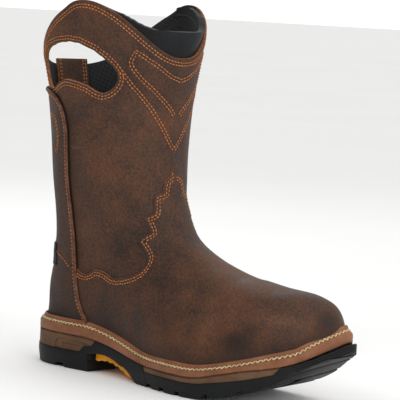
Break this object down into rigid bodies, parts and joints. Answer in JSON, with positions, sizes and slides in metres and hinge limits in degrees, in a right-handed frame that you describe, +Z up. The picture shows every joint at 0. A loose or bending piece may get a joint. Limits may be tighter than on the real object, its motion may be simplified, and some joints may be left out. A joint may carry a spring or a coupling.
{
  "type": "western work boot",
  "caption": "Pull-on leather work boot for the right foot with a scalloped topline, pull holes, padded collar, welt, wedge midsole and lugged rubber sole.",
  "frame": {"origin": "on the floor, at the centre of the boot's plan extents", "axes": "+X from heel to toe, +Y to the inner side of the right foot, +Z up"},
  "size_m": [0.316, 0.1296, 0.31],
  "materials": {
    "black_rubber": "matt moulded rubber",
    "yellow_rubber": "satin moulded rubber",
    "midsole_foam": "matt foam rubber",
    "welt_strip": "smooth edge-dyed strip",
    "insole_fabric": "woven sock cloth",
    "shaft_leather": "oiled, distressed nap",
    "panel_leather": "oiled, distressed nap",
    "seam_cord": "rolled raw edge",
    "collar_fabric": "smooth padded cloth",
    "tab_fabric": "woven tape"
  },
  "bodies": {
    "root": {"outsole": "black_rubber", "arch_insert": "yellow_rubber", "midsole": "midsole_foam", "welt": "welt_strip", "insole": "insole_fabric", "upper": "shaft_leather", "vamp_overlay": "panel_leather", "heel_counter": "panel_leather", "back_panel": "panel_leather", "side_seam_cord_outer": "seam_cord", "side_seam_cord_inner": "seam_cord", "collar_padding": "collar_fabric", "pull_strap": "shaft_leather", "heel_tab": "tab_fabric"}
  },
  "joints": []
}
